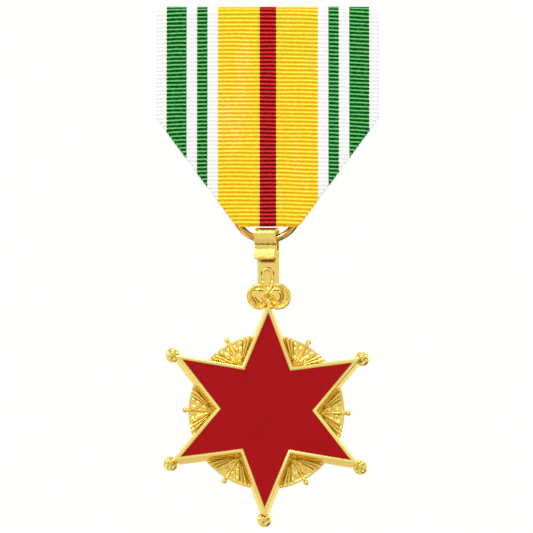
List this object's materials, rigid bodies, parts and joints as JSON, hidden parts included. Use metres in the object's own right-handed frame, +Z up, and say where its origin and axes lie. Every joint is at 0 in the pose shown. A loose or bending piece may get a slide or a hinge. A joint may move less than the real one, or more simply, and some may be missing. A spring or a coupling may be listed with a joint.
{
  "type": "military service medal",
  "caption": "Full-size medal: tapered striped ribbon drape on a pin brooch, jump ring and folded hanger, pointed star with red enamel, ball finials and fan-shaped sectors.",
  "frame": {"origin": "middle of the brooch plate's rear face, where the brooch lies against the wearer's cloth", "axes": "+Z up as worn, +X towards the viewer's right, +Y to the rear into the wearer's cloth, so the front faces -Y"},
  "size_m": [0.035, 0.0076, 0.0824],
  "materials": {
    "ribbon": "ribbed rayon ribbon, white, green, yellow and red stripes",
    "brass": "satin rolled brass",
    "steel": "drawn, bright",
    "ring_gilt": "gilt wire, slightly darker than the star",
    "gilt": "polished gold plating",
    "enamel": "flat, glossy red enamel"
  },
  "bodies": {
    "brooch": {"ribbon_drape": "ribbon", "corner_fold_left": "ribbon", "corner_fold_right": "ribbon", "brooch_bar": "brass", "back_plate": "brass", "plate_rivet_left": "brass", "plate_rivet_right": "brass", "hinge_bracket": "brass", "hinge_rivet": "steel", "catch_base": "brass"},
    "pin": {"pin_stem": "steel"},
    "catch": {"catch_sleeve": "brass"},
    "ring": {"suspension_ring": "ring_gilt"},
    "pendant": {"hanger_strap": "gilt", "cord_loop": "gilt", "knot_ornament": "gilt", "star_frame": "gilt", "enamel_field": "enamel", "fan_disc": "gilt", "fan_pin_1": "gilt", "fan_pin_2": "gilt", "fan_pin_3": "gilt", "fan_pin_4": "gilt", "fan_pin_5": "gilt", "fan_pin_6": "gilt", "finial_ball_1": "gilt", "finial_ball_2": "gilt", "finial_ball_3": "gilt", "finial_ball_4": "gilt", "finial_ball_5": "gilt", "finial_ball_6": "gilt"}
  },
  "joints": [
    {"name": "ring_turn", "type": "hinge", "parent": "brooch", "child": "ring", "pos_m": [-0.00013, -0.00228, -0.02728], "axis": [0, 1, 0], "range_deg": [-6, 6]},
    {"name": "pendant_swing", "type": "hinge", "parent": "ring", "child": "pendant", "pos_m": [-0.00013, -0.00228, -0.03245], "axis": [1, 0, 0], "range_deg": [-85, 85]},
    {"name": "pin_swing", "type": "hinge", "parent": "brooch", "child": "pin", "pos_m": [0.012, 0.002, 0], "axis": [0, 0, -1], "range_deg": [0, 85]},
    {"name": "catch_turn", "type": "hinge", "parent": "brooch", "child": "catch", "pos_m": [-0.012, 0.002, 0], "axis": [-1, 0, 0], "range_deg": [0, 100]}
  ]
}
